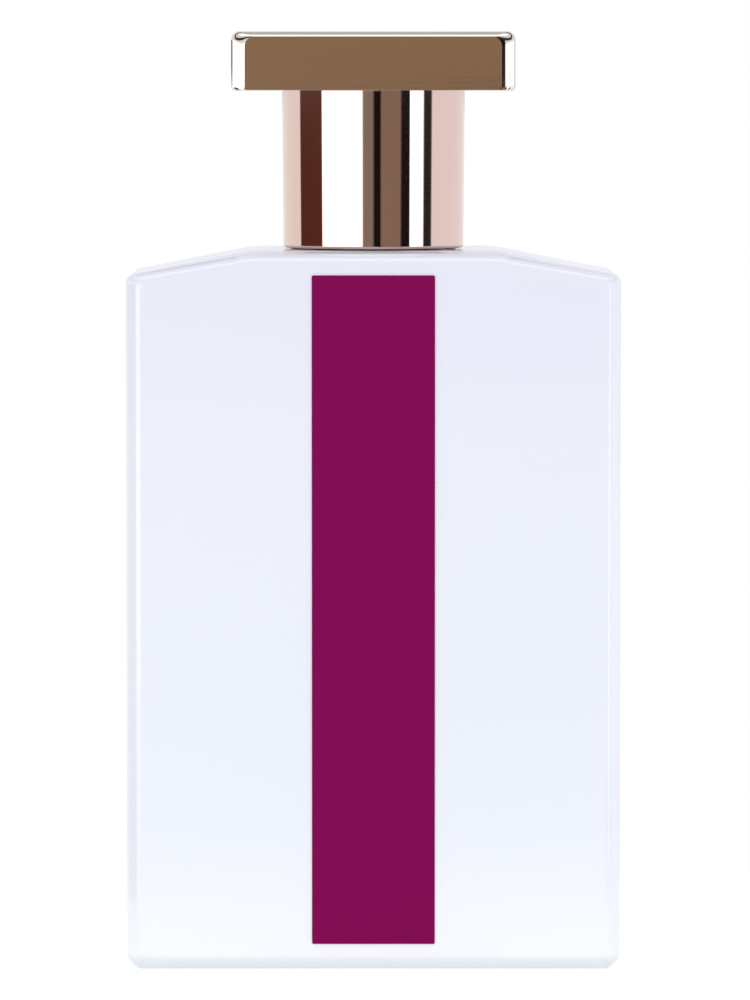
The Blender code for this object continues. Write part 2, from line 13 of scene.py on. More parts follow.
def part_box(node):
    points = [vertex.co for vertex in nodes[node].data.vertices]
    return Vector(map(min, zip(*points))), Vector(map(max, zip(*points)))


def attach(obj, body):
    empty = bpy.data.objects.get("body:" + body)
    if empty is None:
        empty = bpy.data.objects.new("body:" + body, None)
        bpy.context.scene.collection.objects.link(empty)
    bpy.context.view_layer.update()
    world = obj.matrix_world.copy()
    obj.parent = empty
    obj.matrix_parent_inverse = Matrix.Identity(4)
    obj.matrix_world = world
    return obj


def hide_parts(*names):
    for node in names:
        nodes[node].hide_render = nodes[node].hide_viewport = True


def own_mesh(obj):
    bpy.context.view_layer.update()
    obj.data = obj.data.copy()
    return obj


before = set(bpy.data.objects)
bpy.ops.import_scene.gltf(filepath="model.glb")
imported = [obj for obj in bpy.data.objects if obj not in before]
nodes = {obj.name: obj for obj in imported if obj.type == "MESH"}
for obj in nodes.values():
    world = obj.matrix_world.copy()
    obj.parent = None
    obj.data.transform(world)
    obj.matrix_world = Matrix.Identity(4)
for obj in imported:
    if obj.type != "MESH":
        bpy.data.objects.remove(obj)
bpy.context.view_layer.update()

# ---- sizes, from the frame where it has them ----

GLASS_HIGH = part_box("bottle")[1]
SLEEVE_LOW, SLEEVE_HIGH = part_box("cap_sleeve")
SLAB_LOW, SLAB_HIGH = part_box("cap_slab")
LINER_LOW, LINER_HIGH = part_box("cap_liner")
WEIGHT_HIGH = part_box("cap_weight")[1]
COLLAR_LOW, COLLAR_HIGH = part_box("collar")
SHELL_LOW, SHELL_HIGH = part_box("actuator_shell")
INSERT_LOW, INSERT_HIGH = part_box("nozzle_insert")
SPRING_LOW, SPRING_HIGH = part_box("return_spring")
FERRULE_LOW, FERRULE_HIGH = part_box("crimp_ferrule")
NOZZLE_Z = (INSERT_LOW.z + INSERT_HIGH.z) / 2
NOZZLE_RADIUS = INSERT_HIGH.x

RIM_GAP = 0.0001  # between the cap's rim and the glass
LAND_HEIGHT = SLEEVE_LOW.z - RIM_GAP
LAND_HALF = 0.0156  # the flat land round the cap, to the sides
LAND_BLEND = 0.014  # the radius between the land and a shoulder
LAND_CROWN = 0.0004  # how far the land falls away beside the cap, to the front and the back
CORNER_HEIGHT = LAND_HEIGHT - 0.0031
CORNER_RADIUS = 0.0011  # between a shoulder and a side
FACE_CORNER_RADIUS = 0.0008  # the same corner on the front and the back faces
BASE_CUT = 0.0014  # the slant between a side and the base
BASE_BEVEL = 0.00165
SIDE_BEVEL = 0.0015
TOP_BEVEL = 0.0008
SHOULDER_BEVEL = 0.0004  # the top bevel where the shoulder meets the side
EDGE_SOFTENING = 0.0005
FACE_BORDER = 0.0012  # a flat margin round the front and the back faces
GLASS_WALL = 0.0032
GLASS_FLOOR = 0.0072
CAVITY_CORNER = 0.004
CAVITY_CUT = 0.003
CAVITY_EDGE = 0.003
RECESS_RIM = 0.0062
RECESS_CORNER = 0.003
RECESS_DEPTH = 0.0007

NECK_RADIUS = 0.0064
BEAD_RADIUS = 0.0074
BEAD_LOW = GLASS_HIGH.z - 0.0035
BORE_RADIUS = 0.0049
BORE_FOOT = CORNER_HEIGHT - 0.007
CLEAR = 0.001  # how far a cutting piece stands past what it cuts
PLAY = 0.0001  # round what fits in a pocket

SLAB_TURN = 0.0018  # how far the face eases back into the ends
SLAB_EDGE = 0.0008
SLAB_UNDER_EDGE = 0.00015
SLAB_CORNER = 0.0011  # the corners in the front view, and then the flat face's corners
SLAB_FACE_CORNER = 0.0012
SLAB_FOOT_CORNER = 0.0005
SLAB_FACE_FOOT_CORNER = 0.0003
SLEEVE_BORE = 0.01045
SLEEVE_RIM_RADIUS = 0.01144
SEAT_DEPTH = 0.0008  # how far the sleeve goes up into the slab
LINER_WALL = 0.0006
LINER_CROWN = 0.0009
LINER_RIBS = 8
RIB_WIDTH = 0.0009
RIB_GAP = 0.00025  # between a rib and the collar
COLLAR_WALL = 0.0006
FERRULE_WALL = 0.0004
FERRULE_EYE = 0.0039
COLLAR_MOUTH = 0.00685
SHELL_WALL = 0.0004
DISH_RADIUS = 0.0046
DISH_DEPTH = 0.00025
SPRING_WIRE = 0.0005
SPRING_TURNS = 6
COIL_CLOSING = 0.75  # how much of its pitch the spring loses at its ends

FINE = 192  # facets round a polished turned piece
FLOOR_RADIUS = 0.1
FLOOR_TONE = (0.45, 0.45, 0.45)
FLOOR_GLOW = 0.66


# ---- shapes ----


def filleted(corners, steps=8):
    """The outline through (x, y, radius) corners, each rounded to its radius."""
    outline = []
    for i, (x, y, radius) in enumerate(corners):
        corner = Vector((x, y))
        if radius == 0:
            outline.append(corner)
            continue
        before = (Vector(corners[i - 1][:2]) - corner).normalized()
        after = (Vector(corners[(i + 1) % len(corners)][:2]) - corner).normalized()
        half = before.angle(after) / 2
        centre = corner + (before + after).normalized() * radius / math.sin(half)
        start = corner + before * radius / math.tan(half) - centre
        sweep = start.angle_signed(corner + after * radius / math.tan(half) - centre)
        for k in range(steps + 1):
            outline.append(centre + Matrix.Rotation(-sweep * k / steps, 2) @ start)
    return outline


def rectangle(half_x, half_y, radius, steps=8):
    signs = ((-1, -1), (1, -1), (1, 1), (-1, 1))
    return filleted([(x * half_x, y * half_y, radius) for x, y in signs], steps)


def piece_from(name, form):
    mesh = bpy.data.meshes.new(name)
    form.to_mesh(mesh)
    form.free()
    piece = bpy.data.objects.new(name, mesh)
    bpy.context.scene.collection.objects.link(piece)
    return piece


def lathe(name, profile, facets=FINE):
    """A turned piece. The (radius, height) points run down its outer side, and a ring's back up its bore."""
    form = bmesh.new()
    rings = []
    for radius, height in profile:
        if radius < 1e-7:
            rings.append([form.verts.new((0.0, 0.0, height))])
            continue
        rings.append([])
        for k in range(facets):
            angle = 2 * math.pi * k / facets
            rings[-1].append(form.verts.new((radius * math.cos(angle), radius * math.sin(angle), height)))
    bands = list(zip(rings, rings[1:]))
    if len(rings[0]) > 1:
        bands.append((rings[-1], rings[0]))
    for upper, lower in bands:
        for k in range(facets):
            n = (k + 1) % facets
            left = (upper[k % len(upper)], lower[k % len(lower)])
            right = (lower[n % len(lower)], upper[n % len(upper)])
            form.faces.new(list(dict.fromkeys(left + right)))
    return piece_from(name, form)


def lofted(name, rings):
    """Skins matching closed outlines, the first and the last capped."""
    form = bmesh.new()
    loops = [[form.verts.new(point) for point in ring] for ring in rings]
    for one, other in zip(loops, loops[1:]):
        for i in range(len(one)):
            form.faces.new((one[i - 1], one[i], other[i], other[i - 1]))
    form.faces.new(loops[0])
    form.faces.new(loops[-1])
    bmesh.ops.recalc_face_normals(form, faces=form.faces)
    return piece_from(name, form)


def bar(name, radius, start, end):
    """A round bar from start to end, for drilling."""
    form = bmesh.new()
    along = Vector(end) - Vector(start)
    turn = Vector((0, 0, 1)).rotation_difference(along).to_matrix().to_4x4()
    place = Matrix.Translation((Vector(start) + Vector(end)) / 2) @ turn
    bmesh.ops.create_cone(
        form, cap_ends=True, segments=64, radius1=radius, radius2=radius, depth=along.length, matrix=place
    )
    return piece_from(name, form)


def combine(piece, tool, operation="DIFFERENCE"):
    """Cuts or joins with a tool piece, bakes the result and discards the tool."""
    boolean = piece.modifiers.new("Combine", "BOOLEAN")
    boolean.operation = operation
    boolean.object = tool
    settle(piece)
    bpy.data.objects.remove(tool, do_unlink=True)


def settle(piece):
    """Bakes the modifiers into the mesh."""
    graph = bpy.context.evaluated_depsgraph_get()
    mesh = bpy.data.meshes.new_from_object(piece.evaluated_get(graph))
    piece.modifiers.clear()
    piece.data = mesh


def rounded_edges(piece, width, segments=4, angle=30):
    bevel = piece.modifiers.new("Soft edges", "BEVEL")
    bevel.limit_method = "ANGLE"
    bevel.angle_limit = math.radians(angle)
    bevel.width = width
    bevel.segments = segments
    settle(piece)


def smooth(piece, angle=35):
    """Smooth shading with flat faces kept flat, and creases over the angle kept sharp."""
    piece.data.shade_smooth()
    piece.data.set_sharp_from_angle(angle=math.radians(angle))
    weighted = piece.modifiers.new("Weighted normals", "WEIGHTED_NORMAL")
    weighted.keep_sharp = True
    settle(piece)
    return piece


# ---- materials ----


def feed(tree, socket, value):
    """Links an output to an input, or sets it to a number, a data-block or an opaque colour."""
    if isinstance(value, bpy.types.NodeSocket):
        tree.links.new(value, socket)
    elif isinstance(value, tuple):
        socket.default_value = (*value, 1.0)
    else:
        socket.default_value = value


def shader_group(name, inputs, outputs):
    """An empty node group with named sockets, and its input and output nodes."""
    group = bpy.data.node_groups.new(name, "ShaderNodeTree")
    for label, kind, value in inputs:
        socket = group.interface.new_socket(name=label, in_out="INPUT", socket_type=kind)
        socket.default_value = value
    for label, kind in outputs:
        group.interface.new_socket(name=label, in_out="OUTPUT", socket_type=kind)
    return group, group.nodes.new("NodeGroupInput"), group.nodes.new("NodeGroupOutput")


def noise(tree, vector, scale, detail=2.0, roughness=0.5):
    node = tree.nodes.new("ShaderNodeTexNoise")
    node.inputs["Detail"].default_value = detail
    node.inputs["Roughness"].default_value = roughness
    tree.links.new(vector, node.inputs["Vector"])
    feed(tree, node.inputs["Scale"], scale)
    return node.outputs["Fac"]


def ranged(tree, value, low, high, to_low, to_high):
    """Maps a value from low..high to to_low..to_high, easing in and out."""
    node = tree.nodes.new("ShaderNodeMapRange")
    node.interpolation_type = "SMOOTHSTEP"
    tree.links.new(value, node.inputs["Value"])
    for label, amount in zip(("From Min", "From Max", "To Min", "To Max"), (low, high, to_low, to_high)):
        node.inputs[label].default_value = amount
    return node.outputs["Result"]


def maths(tree, operation, one, other):
    node = tree.nodes.new("ShaderNodeMath")
    node.operation = operation
    feed(tree, node.inputs[0], one)
    feed(tree, node.inputs[1], other)
    return node.outputs["Value"]


def blended(tree, factor, one, other):
    """A colour that goes from one to the other with the factor."""
    mix = tree.nodes.new("ShaderNodeMix")
    mix.data_type = "RGBA"
    feed(tree, mix.inputs["Factor"], factor)
    feed(tree, mix.inputs[6], one)
    feed(tree, mix.inputs[7], other)
    return mix.outputs[2]


def object_coordinates(tree, stretch=(1.0, 1.0, 1.0)):
    coordinates = tree.nodes.new("ShaderNodeTexCoord")
    mapping = tree.nodes.new("ShaderNodeMapping")
    mapping.inputs["Scale"].default_value = stretch
    tree.links.new(coordinates.outputs["Object"], mapping.inputs["Vector"])
    return mapping.outputs["Vector"]


def make_handling_group():
    """Handling marks: hairlines in two directions and a few rubbed patches, as one mask from 0 to 1."""
    group, given, out = shader_group(
        "handling_marks", [("Amount", "NodeSocketFloat", 0.5)], [("Mask", "NodeSocketFloat")]
    )
    upright = noise(group, object_coordinates(group, (2600.0, 2600.0, 60.0)), 1.0, 3.0)
    across = noise(group, object_coordinates(group, (90.0, 90.0, 3400.0)), 1.0, 3.0)
    patches = noise(group, object_coordinates(group), 160.0, 3.0)
    upright = ranged(group, upright, 0.66, 0.8, 0.0, 1.0)
    across = ranged(group, across, 0.68, 0.8, 0.0, 1.0)
    patches = ranged(group, patches, 0.45, 0.7, 0.2, 1.0)
    worn = maths(group, "MULTIPLY", maths(group, "MAXIMUM", upright, across), patches)
    group.links.new(maths(group, "MULTIPLY", worn, given.outputs["Amount"]), out.inputs["Mask"])
    return group


def make_grain_group():
    """A fine moulded or printed grain: a height around 0.5, and a slow tone change from 0 to 1."""
    group, given, out = shader_group(
        "surface_grain",
        [("Scale", "NodeSocketFloat", 2000.0)],
        [("Height", "NodeSocketFloat"), ("Tone", "NodeSocketFloat")],
    )
    place = object_coordinates(group)
    group.links.new(noise(group, place, given.outputs["Scale"], 4.0, 0.6), out.inputs["Height"])
    group.links.new(noise(group, place, 45.0, 2.0), out.inputs["Tone"])
    return group


HANDLING = make_handling_group()
GRAIN = make_grain_group()


def grown(name, tree, material, **sizes):
    """Runs a geometry node tree with its named inputs and keeps what it makes as a plain mesh."""
    mesh = bpy.data.meshes.new(name)
    piece = bpy.data.objects.new(name, mesh)
    bpy.context.scene.collection.objects.link(piece)
    modifier = piece.modifiers.new("Grown", "NODES")
    modifier.node_group = tree
    for item in tree.interface.items_tree:
        if item.in_out == "INPUT" and item.name in sizes:
            modifier[item.identifier] = sizes[item.name]
        elif item.in_out == "INPUT" and item.name == "Material":
            modifier[item.identifier] = material
    settle(piece)
    return piece


class Growth:
    """A geometry node tree under construction, with named inputs and its last steps."""

    def __init__(self, name, *inputs):
        self.tree = bpy.data.node_groups.new(name, "GeometryNodeTree")
        for label in inputs:
            kind = "NodeSocketInt" if label == "Count" else "NodeSocketFloat"
            self.tree.interface.new_socket(name=label, in_out="INPUT", socket_type=kind)
        self.tree.interface.new_socket(name="Material", in_out="INPUT", socket_type="NodeSocketMaterial")
        self.tree.interface.new_socket(name="Geometry", in_out="OUTPUT", socket_type="NodeSocketGeometry")
        self.given = self.tree.nodes.new("NodeGroupInput").outputs

    def node(self, kind, **inputs):
        """Adds a node, and links or sets its inputs by name, with underscores for spaces."""
        node = self.tree.nodes.new(kind)
        for label, value in inputs.items():
            feed(self.tree, node.inputs[label.replace("_", " ")], value)
        return node

    def maths(self, operation, *values):
        node = self.tree.nodes.new("ShaderNodeMath")
        node.operation = operation
        for socket, value in zip(node.inputs, values):
            feed(self.tree, socket, value)
        return node.outputs["Value"]

    def finish(self, geometry):
        """Ends the tree: real geometry, with its material."""
        real = self.node("GeometryNodeRealizeInstances", Geometry=geometry)
        dressed = self.node(
            "GeometryNodeSetMaterial", Geometry=real.outputs["Geometry"], Material=self.given["Material"]
        )
        out = self.tree.nodes.new("NodeGroupOutput")
        self.tree.links.new(dressed.outputs["Geometry"], out.inputs["Geometry"])
        return self.tree


def rib_ring_tree():
    """Half-round ribs standing in a ring, Count of them, from Low to High."""
    growth = Growth("rib_ring", "Count", "Radius", "Thickness", "Low", "High")
    given = growth.given
    ring = growth.node("GeometryNodeMeshCircle", Vertices=given["Count"], Radius=given["Radius"])
    height = growth.maths("SUBTRACT", given["High"], given["Low"])
    middle = growth.maths("MULTIPLY", growth.maths("ADD", given["High"], given["Low"]), 0.5)
    half = growth.maths("MULTIPLY", given["Thickness"], 0.5)
    rib = growth.node("GeometryNodeMeshCylinder", Vertices=20, Radius=half, Depth=height)
    stood = growth.node(
        "GeometryNodeInstanceOnPoints", Points=ring.outputs["Mesh"], Instance=rib.outputs["Mesh"]
    )
    lift = growth.node("ShaderNodeCombineXYZ", Z=middle)
    half_step = growth.maths("DIVIDE", math.pi, given["Count"])
    turn = growth.node("ShaderNodeCombineXYZ", Z=half_step)
    placed_ring = growth.node(
        "GeometryNodeTransform",
        Geometry=stood.outputs["Instances"],
        Translation=lift.outputs["Vector"],
        Rotation=turn.outputs["Vector"],
    )
    return growth.finish(placed_ring.outputs["Geometry"])


def coil_tree():
    """A wire coil of Count turns from Low to High, closing up at both ends."""
    growth = Growth("coil", "Radius", "Thickness", "Count", "Low", "High")
    given = growth.given
    spiral = growth.node(
        "GeometryNodeCurveSpiral",
        Resolution=40,
        Rotations=given["Count"],
        Start_Radius=given["Radius"],
        End_Radius=given["Radius"],
        Height=0.0,
    )
    way = growth.node("GeometryNodeSplineParameter").outputs["Factor"]
    wave = growth.maths("SINE", growth.maths("MULTIPLY", way, 2 * math.pi))
    closing = growth.maths("MULTIPLY", wave, COIL_CLOSING / (2 * math.pi))
    height = growth.maths("SUBTRACT", given["High"], given["Low"])
    climb = growth.maths("MULTIPLY", growth.maths("SUBTRACT", way, closing), height)
    up = growth.node("ShaderNodeCombineXYZ", Z=growth.maths("ADD", climb, given["Low"]))
    risen = growth.node(
        "GeometryNodeSetPosition", Geometry=spiral.outputs["Curve"], Offset=up.outputs["Vector"]
    )
    half = growth.maths("MULTIPLY", given["Thickness"], 0.5)
    wire = growth.node("GeometryNodeCurvePrimitiveCircle", Resolution=12, Radius=half)
    tube = growth.node(
        "GeometryNodeCurveToMesh",
        Curve=risen.outputs["Geometry"],
        Profile_Curve=wire.outputs["Curve"],
        Fill_Caps=True,
    )
    return growth.finish(tube.outputs["Mesh"])


def placed(piece, material, body, node):
    """Finishes a piece: its one material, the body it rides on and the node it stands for."""
    piece.data.polygons.foreach_set("material_index", [0] * len(piece.data.polygons))
    piece.data.materials.clear()
    piece.data.materials.append(material)
    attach(piece, body)
    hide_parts(node)


class Finish:
    """A material under construction: its tree, its shader and the effects placed in it."""

    def __init__(self, name, colour, roughness, metallic=0.0):
        self.material = bpy.data.materials.new(name)
        self.material.use_nodes = True
        self.tree = self.material.node_tree
        self.shader = self.tree.nodes["Principled BSDF"]
        self.roughness = roughness
        self.set("Base Color", (*colour, 1.0))
        self.set("Roughness", roughness)
        self.set("Metallic", metallic)

    def set(self, label, value):
        self.shader.inputs[label].default_value = value

    def link(self, output, label):
        self.tree.links.new(output, self.shader.inputs[label])

    def group(self, tree, **values):
        node = self.tree.nodes.new("ShaderNodeGroup")
        node.node_tree = tree
        for label, value in values.items():
            node.inputs[label.title()].default_value = value
        return node

    def rubbed(self, amount, rougher):
        """Handling marks that raise the roughness by up to rougher."""
        marks = self.group(HANDLING, amount=amount).outputs["Mask"]
        self.link(ranged(self.tree, marks, 0.0, 1.0, self.roughness, self.roughness + rougher), "Roughness")

    def toned(self, light, dark, scale=2000.0):
        """Base colour that drifts between two close tones; returns the grain group."""
        grain = self.group(GRAIN, scale=scale)
        self.link(blended(self.tree, grain.outputs["Tone"], light, dark), "Base Color")
        return grain

    def bumped(self, height, distance):
        bump = self.tree.nodes.new("ShaderNodeBump")
        bump.inputs["Distance"].default_value = distance
        bump.inputs["Strength"].default_value = 1.0
        self.tree.links.new(height, bump.inputs["Height"])
        self.link(bump.outputs["Normal"], "Normal")


# The glass's tone at a share of the land's height, with painted light and shade: painted shade greys the base
# edge, painted light brightens the glass just above it, and painted shade makes it darker and cooler towards
# the shoulders.
OPAL_TONES_WITH_PAINTED_SHADE = (
    (0.0, (0.7, 0.735, 0.79)),
    (0.014, (0.74, 0.775, 0.83)),
    (0.022, (0.86, 0.878, 0.92)),
    (0.2, (0.793, 0.828, 0.913)),
    (0.5, (0.797, 0.829, 0.917)),
    (0.75, (0.788, 0.817, 0.908)),
    (0.93, (0.766, 0.782, 0.886)),
)


def opal_glass():
    """Thick opaque white glass with a cool cast, a mould's slight waviness, and painted light and shade by
    height.
    """
    finish = Finish("opal_glass", (0.82, 0.85, 0.95), 0.06)
    tree = finish.tree
    split = tree.nodes.new("ShaderNodeSeparateXYZ")
    tree.links.new(object_coordinates(tree), split.inputs["Vector"])
    # This ramp paints light and shade by height: darker at the base edge and towards the shoulders, lighter
    # just above the base.
    depth = tree.nodes.new("ShaderNodeValToRGB")
    tree.links.new(maths(tree, "DIVIDE", split.outputs["Z"], LAND_HEIGHT), depth.inputs["Fac"])
    stops = depth.color_ramp.elements
    stops.remove(stops[-1])
    for height, tone in OPAL_TONES_WITH_PAINTED_SHADE:
        stop = stops.new(height) if height else stops[0]
        stop.color = (*tone, 1.0)
    finish.link(depth.outputs["Color"], "Base Color")
    wave = noise(tree, object_coordinates(tree, (1.0, 1.0, 0.45)), 38.0, 1.0)
    finish.bumped(wave, 0.00006)
    finish.rubbed(0.5, 0.06)
    finish.set("IOR", 1.6)
    return finish.material


def label_ink():
    """Screen-printed magenta with a satin face and a fine ink grain."""
    finish = Finish("magenta_ink", (0.2, 0.001, 0.077), 0.42)
    grain = finish.toned((0.206, 0.0012, 0.079), (0.194, 0.0009, 0.075), 5200.0)
    finish.bumped(grain.outputs["Height"], 0.000004)
    finish.rubbed(0.35, 0.12)
    finish.set("Specular IOR Level", 0.04)
    return finish.material


def rose_gold():
    """Polished and plated rose gold, with faint hairlines."""
    finish = Finish("rose_gold_polish", (0.735, 0.555, 0.505), 0.035, 1.0)
    finish.toned((0.74, 0.56, 0.511), (0.73, 0.55, 0.499))
    finish.rubbed(0.6, 0.09)
    return finish.material


def slab_rose_gold():
    """The slab's plating: a paler tone, polished and faintly drawn lengthways."""
    finish = Finish("rose_gold_drawn", (0.8, 0.73, 0.66), 0.045, 1.0)
    finish.toned((0.806, 0.737, 0.668), (0.794, 0.723, 0.652))
    drawn = noise(finish.tree, object_coordinates(finish.tree, (90.0, 5200.0, 5200.0)), 1.0, 3.0)
    finish.bumped(drawn, 0.0000008)
    finish.rubbed(0.5, 0.08)
    return finish.material


def moulded(name, colour, roughness, transmission=0.0):
    """Moulded plastic with a fine grain."""
    finish = Finish(name, colour, roughness)
    darker = tuple(0.96 * channel for channel in colour)
    grain = finish.toned(colour, darker, 2600.0)
    finish.bumped(grain.outputs["Height"], 0.000008)
    finish.rubbed(0.4, 0.1)
    finish.set("Transmission Weight", transmission)
    return finish.material


def bare_metal(name, colour, roughness):
    """Unplated metal with a fine grain and plain handling marks."""
    finish = Finish(name, colour, roughness, 1.0)
    darker = tuple(0.93 * channel for channel in colour)
    grain = finish.toned(colour, darker, 3000.0)
    finish.bumped(grain.outputs["Height"], 0.000002)
    finish.rubbed(0.7, 0.15)
    return finish.material


# ---- flacon ----


def flacon_outline(side, land, shoulder, base, corner_radius, base_cut):
    """The front view, pulled in at its sides, its land, the ends of its shoulders and its base."""
    half = GLASS_HIGH.x - side
    return filleted([
        (-half + base_cut, base, 0),
        (half - base_cut, base, 0),
        (half, base + base_cut, 0),
        (half, CORNER_HEIGHT - shoulder, corner_radius),
        (LAND_HALF, LAND_HEIGHT - land, LAND_BLEND),
        (-LAND_HALF, LAND_HEIGHT - land, LAND_BLEND),
        (-half, CORNER_HEIGHT - shoulder, corner_radius),
        (-half, base + base_cut, 0),
    ], 12)


def neck_blank():
    """The crimp neck: a waist above the shoulder, then the bead that the ferrule grips."""
    ease, sunk = 0.0006, LAND_HEIGHT - 0.002
    corners = [
        (0.0, GLASS_HIGH.z, 0),
        (BEAD_RADIUS, GLASS_HIGH.z, ease),
        (BEAD_RADIUS, BEAD_LOW, ease),
        (NECK_RADIUS, BEAD_LOW - 0.0004, 0.0003),
        (NECK_RADIUS, LAND_HEIGHT, 0.0005),
        (NECK_RADIUS + 0.001, LAND_HEIGHT - 0.0002, 0),
        (NECK_RADIUS + 0.001, sunk, 0),
        (0.0, sunk, 0),
    ]
    return lathe("neck_blank", filleted(corners, 5), 96)


# Where across the depth the land falls away beside the cap, as shares of half the depth and of LAND_CROWN.
LAND_FALL = ((-0.86, 0.3), (-0.76, 0.0), (0.76, 0.0), (0.86, 0.3))


def face_outline(inset):
    """The outline of the front and the back faces, pulled in by the inset."""
    return flacon_outline(
        SIDE_BEVEL + inset,
        LAND_CROWN + TOP_BEVEL + inset,
        SHOULDER_BEVEL + inset,
        BASE_BEVEL + inset,
        FACE_CORNER_RADIUS,
        BASE_CUT + SIDE_BEVEL - BASE_BEVEL,
    )


def section_outline(fall):
    """The outline between the faces' bevels, where the land has fallen by a share of LAND_CROWN."""
    return flacon_outline(0.0, LAND_CROWN * fall, 0.0, 0.0, CORNER_RADIUS, BASE_CUT)


def make_flacon():
    """The glass: bevelled edges each softened, the neck joined on, and the inside and the base hollowed."""
    half = GLASS_HIGH.y
    margin, face, edge = face_outline(FACE_BORDER), face_outline(0.0), section_outline(1.0)
    inward = [max(abs(w.x - n.x), abs(w.y - n.y)) for w, n in zip(edge, face)]
    rings = [[(p.x, -half, p.y) for p in margin], [(p.x, -half, p.y) for p in face]]
    rings.append([(p.x, d - half, p.y) for p, d in zip(edge, inward)])
    for share, fall in LAND_FALL:
        rings.append([(p.x, share * half, p.y) for p in section_outline(fall)])
    rings.append([(p.x, half - d, p.y) for p, d in zip(edge, inward)])
    rings += [[(p.x, half, p.y) for p in face], [(p.x, half, p.y) for p in margin]]
    flacon = lofted("flacon", rings)
    rounded_edges(flacon, EDGE_SOFTENING)
    combine(flacon, neck_blank(), "UNION")
    inside = flacon_outline(GLASS_WALL, GLASS_WALL, GLASS_WALL, GLASS_FLOOR, CAVITY_CORNER, CAVITY_CUT)
    deep = half - GLASS_WALL
    cavity = lofted("cavity", [[(p.x, y, p.y) for p in inside] for y in (-deep, deep)])
    rounded_edges(cavity, CAVITY_EDGE, 5, 60)
    combine(flacon, cavity)
    combine(flacon, bar("bore", BORE_RADIUS, (0, 0, BORE_FOOT), (0, 0, GLASS_HIGH.z + 2 * CLEAR)))
    plan = rectangle(GLASS_HIGH.x - RECESS_RIM, half - RECESS_RIM, RECESS_CORNER)
    combine(flacon, lofted("recess", [[(p.x, p.y, z) for p in plan] for z in (-CLEAR, RECESS_DEPTH)]))
    smooth(flacon)
    placed(flacon, opal_glass(), "flacon", "bottle")


# ---- cap ----


def slab_outline(inward):
    """The slab's front view, pulled in from its full size by a share of each edge's rounding."""
    half = SLAB_HIGH.x - SLAB_TURN * inward
    low = SLAB_LOW.z + SLAB_UNDER_EDGE * inward
    high = SLAB_HIGH.z - SLAB_EDGE * inward
    upper = SLAB_CORNER + (SLAB_FACE_CORNER - SLAB_CORNER) * inward
    lower = SLAB_FOOT_CORNER + (SLAB_FACE_FOOT_CORNER - SLAB_FOOT_CORNER) * inward
    foot = [(-half, low, lower), (half, low, lower)]
    return filleted(foot + [(half, high, upper), (-half, high, upper)], 10)


def make_slab(metal):
    """The block on top: pillowed front and back, and a pocket for the liner and the weight."""
    turns = [math.pi / 2 * step / 12 for step in range(13)]
    front = [(1 - math.sin(turn), SLAB_LOW.y + SLAB_TURN * (1 - math.cos(turn))) for turn in turns]
    back = [(inward, -y) for inward, y in reversed(front)]
    rings = [[(p.x, y, p.y) for p in slab_outline(inward)] for inward, y in front + back]
    slab = lofted("slab", rings)
    seat, bore = SLEEVE_HIGH.x + 2 * PLAY, SLEEVE_BORE + PLAY
    step, top, below = SLAB_LOW.z + SEAT_DEPTH, WEIGHT_HIGH.z + PLAY, SLAB_LOW.z - CLEAR
    pocket = [(0.0, top), (bore, top), (bore, step), (seat, step), (seat, below), (0.0, below)]
    combine(slab, lathe("pocket", pocket))
    smooth(slab)
    placed(slab, metal, "cap", "cap_slab")


def make_sleeve(metal):
    """The polished tube, with a rounded rim."""
    rim, bore = SLEEVE_RIM_RADIUS, SLEEVE_BORE
    corners = [
        (SLEEVE_HIGH.x, SLEEVE_HIGH.z, 0),
        (rim, SLEEVE_LOW.z, 0.00038),
        (bore, SLEEVE_LOW.z, 0.0002),
        (bore, SLEEVE_HIGH.z, 0),
    ]
    sleeve = smooth(lathe("sleeve", filleted(corners, 6), 256))
    placed(sleeve, metal, "cap", "cap_sleeve")


def make_liner(plastic):
    """The inner thimble: a plain wall, with ribs grown round its bore to grip the collar."""
    outer, inner = LINER_HIGH.x, LINER_HIGH.x - LINER_WALL
    crown = LINER_HIGH.z - LINER_CROWN
    corners = [
        (0.0, LINER_HIGH.z, 0),
        (outer, LINER_HIGH.z, 0.0003),
        (outer, LINER_LOW.z, 0.0002),
        (inner, LINER_LOW.z, 0.0002),
        (inner, crown, 0.0004),
        (0.0, crown, 0),
    ]
    liner = lathe("liner", filleted(corners, 4), 96)
    ribs = grown(
        "liner_ribs",
        rib_ring_tree(),
        plastic,
        Count=LINER_RIBS,
        Radius=COLLAR_HIGH.x + RIB_GAP + RIB_WIDTH / 2,
        Thickness=RIB_WIDTH,
        Low=COLLAR_LOW.z + 0.0028,
        High=COLLAR_HIGH.z - 0.0012,
    )
    combine(liner, ribs, "UNION")
    smooth(liner)
    placed(liner, plastic, "cap", "cap_liner")


# ---- pump and actuator ----


def make_collar(metal):
    """The plated sleeve over the ferrule, with a rolled top edge and a soft lip round the actuator."""
    outer = COLLAR_HIGH.x
    bore = outer - COLLAR_WALL
    corners = [
        (COLLAR_MOUTH, COLLAR_HIGH.z, 0.00022),
        (outer, COLLAR_HIGH.z, 0.0007),
        (outer, COLLAR_LOW.z, 0.00022),
        (bore, COLLAR_LOW.z, 0.00015),
        (bore, COLLAR_HIGH.z - COLLAR_WALL, 0.0003),
        (COLLAR_MOUTH, COLLAR_HIGH.z - COLLAR_WALL, 0.0001),
    ]
    collar = smooth(lathe("actuator_collar", filleted(corners, 6)))
    placed(collar, metal, "flacon", "collar")


